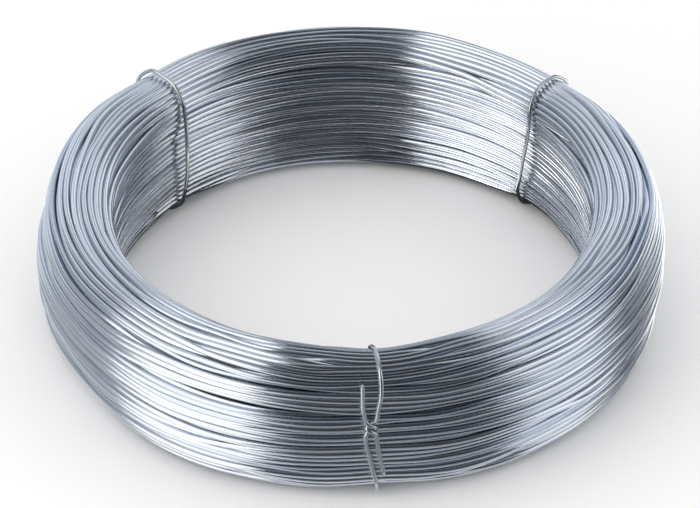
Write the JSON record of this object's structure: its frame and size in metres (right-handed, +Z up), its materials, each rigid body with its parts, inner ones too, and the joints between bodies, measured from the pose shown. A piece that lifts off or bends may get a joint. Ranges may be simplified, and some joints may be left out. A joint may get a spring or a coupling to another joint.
{
  "type": "galvanized wire coil",
  "caption": "Round coil of galvanized steel wire lying on its flat side, its turns bound by twisted tie wires.",
  "frame": {"origin": "centre of the bore, on the face that the coil lies on", "axes": "+Z up along the coil's winding axis, -Y towards the front of the picture, where the front tie wire is"},
  "size_m": [0.1908, 0.1932, 0.0476],
  "materials": {
    "galvanized_wire": "bright zinc, drawn",
    "tie_wire": "bright zinc, drawn"
  },
  "bodies": {
    "root": {"wire_coil": "galvanized_wire", "tie_front": "tie_wire", "tie_back_right": "tie_wire", "tie_back_left": "tie_wire"}
  },
  "joints": []
}
